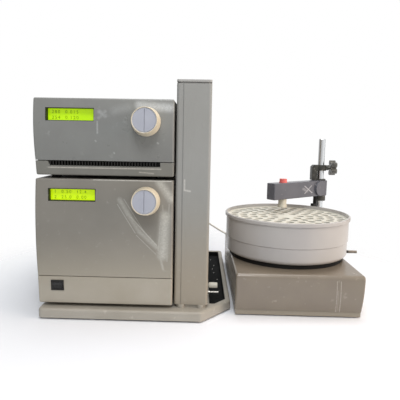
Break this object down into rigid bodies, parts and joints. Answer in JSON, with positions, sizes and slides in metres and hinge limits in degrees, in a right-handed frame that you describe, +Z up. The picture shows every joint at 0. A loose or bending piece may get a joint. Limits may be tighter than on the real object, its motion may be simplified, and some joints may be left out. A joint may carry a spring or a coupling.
{
  "type": "fast protein liquid chromatography system",
  "caption": "Two stacked bench modules with lit displays and turning dials beside a tower on a platform, linked to a fraction collector with a rotary bowl and a swinging arm.",
  "frame": {"origin": "middle of the whole set's box on the bench, cable left out", "axes": "+X to the right along the set, +Y away from the operator, +Z up"},
  "size_m": [0.7178, 0.5108, 0.459],
  "materials": {
    "housing_steel": "fine textured taupe paint",
    "panel_taupe": "painted moulding, satin",
    "platform_taupe": "painted moulding, worn",
    "black_plastic": "black",
    "rubber_black": "matt",
    "dial_cream": "ribbed grip ring",
    "button_blue": "satin",
    "display_lit": "lit liquid crystal display",
    "fitting_white": "turned fluoropolymer",
    "fitting_steel": "turned",
    "pump_steel": "machined",
    "inner_aluminium": "cast",
    "board_green": "laminate",
    "bowl_grey": "moulded, satin",
    "holder_ivory": "moulded, matt",
    "post_chrome": "polished",
    "clamp_black": "black finish on light alloy",
    "arm_grey": "moulded, satin",
    "nut_red": "moulded",
    "cable_white": "soft sheath"
  },
  "bodies": {
    "frame": {"platform_base": "platform_taupe", "drip_tray": "black_plastic", "bench_feet": "rubber_black", "tower_base": "panel_taupe", "tower_column": "housing_steel", "tower_cap": "panel_taupe", "inline_filter": "fitting_white", "tube_union": "fitting_steel", "pump_housing": "housing_steel", "pump_front_panel": "panel_taupe", "pump_display_bezel": "black_plastic", "pump_display": "display_lit", "pump_dial_core": "button_blue", "pump_rear_panel": "housing_steel", "monitor_housing": "housing_steel", "monitor_front_panel": "panel_taupe", "monitor_display_bezel": "black_plastic", "monitor_display": "display_lit", "monitor_dial_core": "button_blue", "monitor_rear_panel": "housing_steel", "pump_lower_panel": "panel_taupe", "monitor_lower_panel": "panel_taupe", "power_switch_frame": "black_plastic", "vent_grille": "black_plastic", "mains_inlets": "black_plastic", "pump_heads": "pump_steel", "check_valves": "pump_steel", "pump_drive_units": "inner_aluminium", "pump_board": "board_green", "monitor_board": "board_green", "lamp_unit": "inner_aluminium", "module_feet": "rubber_black", "collector_cover": "panel_taupe", "collector_chassis": "housing_steel", "drain_ring": "black_plastic", "spindle_bearing": "fitting_steel", "drive_motor": "black_plastic", "post": "post_chrome", "link_cable": "cable_white", "link_plugs": "black_plastic"},
    "pump_ring": {"pump_dial_ring": "dial_cream"},
    "pump_esc": {"pump_esc_button": "button_blue"},
    "pump_ok": {"pump_ok_button": "button_blue"},
    "monitor_ring": {"monitor_dial_ring": "dial_cream"},
    "monitor_esc": {"monitor_esc_button": "button_blue"},
    "monitor_ok": {"monitor_ok_button": "button_blue"},
    "rocker": {"power_rocker": "black_plastic"},
    "rotor": {"bowl": "bowl_grey", "bowl_spindle": "fitting_steel", "tube_holder": "holder_ivory", "tube_support": "holder_ivory"},
    "friction_drive": {"drive_sleeve": "rubber_black", "drive_shaft": "fitting_steel"},
    "carrier": {"arm_carrier": "clamp_black", "arm_collar": "clamp_black"},
    "knob": {"clamp_knob": "clamp_black"},
    "arm": {"arm": "arm_grey", "drop_nozzle": "fitting_white", "tubing_nut": "nut_red", "rim_sensor": "black_plastic"}
  },
  "joints": [
    {"name": "pump_dial_turn", "type": "hinge", "parent": "frame", "child": "pump_ring", "pos_m": [-0.11165, -0.21746, 0.2328], "axis": [0, -0.9976, 0.0698], "continuous": true},
    {"name": "pump_esc_press", "type": "slide", "parent": "frame", "child": "pump_esc", "axis": [0, 0.9976, -0.0698], "range_m": [0, 0.0012], "stiffness_N_per_m": 400, "springref_m": -0.0006},
    {"name": "pump_ok_press", "type": "slide", "parent": "frame", "child": "pump_ok", "axis": [0, 0.9976, -0.0698], "range_m": [0, 0.0012], "stiffness_N_per_m": 400, "springref_m": -0.0006},
    {"name": "monitor_dial_turn", "type": "hinge", "parent": "frame", "child": "monitor_ring", "pos_m": [-0.11175, -0.21886, 0.3795], "axis": [0, -0.9976, 0.0698], "continuous": true},
    {"name": "monitor_esc_press", "type": "slide", "parent": "frame", "child": "monitor_esc", "axis": [0, 0.9976, -0.0698], "range_m": [0, 0.0012], "stiffness_N_per_m": 400, "springref_m": -0.0006},
    {"name": "monitor_ok_press", "type": "slide", "parent": "frame", "child": "monitor_ok", "axis": [0, 0.9976, -0.0698], "range_m": [0, 0.0012], "stiffness_N_per_m": 400, "springref_m": -0.0006},
    {"name": "power_rocker_tilt", "type": "hinge", "parent": "frame", "child": "rocker", "pos_m": [-0.2828, -0.21047, 0.0648], "axis": [1, 0, 0], "range_deg": [0, 16]},
    {"name": "bowl_turn", "type": "hinge", "parent": "frame", "child": "rotor", "pos_m": [0.18895, -0.02466, 0.0979], "axis": [0, 0, 1], "continuous": true},
    {"name": "drive_sleeve_turn", "type": "hinge", "parent": "frame", "child": "friction_drive", "pos_m": [0.26295, 0.10351, 0.101], "axis": [0, 0, 1], "continuous": true},
    {"name": "arm_height", "type": "slide", "parent": "frame", "child": "carrier", "axis": [0, 0, 1], "range_m": [-0.003, 0.06]},
    {"name": "clamp_knob_turn", "type": "hinge", "parent": "carrier", "child": "knob", "pos_m": [0.33245, 0.11594, 0.2825], "axis": [1, 0, 0], "range_deg": [-360, 0]},
    {"name": "arm_swing", "type": "hinge", "parent": "carrier", "child": "arm", "pos_m": [0.30245, 0.11594, 0.23], "axis": [0, 0, 1], "range_deg": [-50, 12]}
  ],
  "couplings": [
    {"joint": "drive_sleeve_turn", "follows": "bowl_turn", "ratio": -10.816}
  ]
}
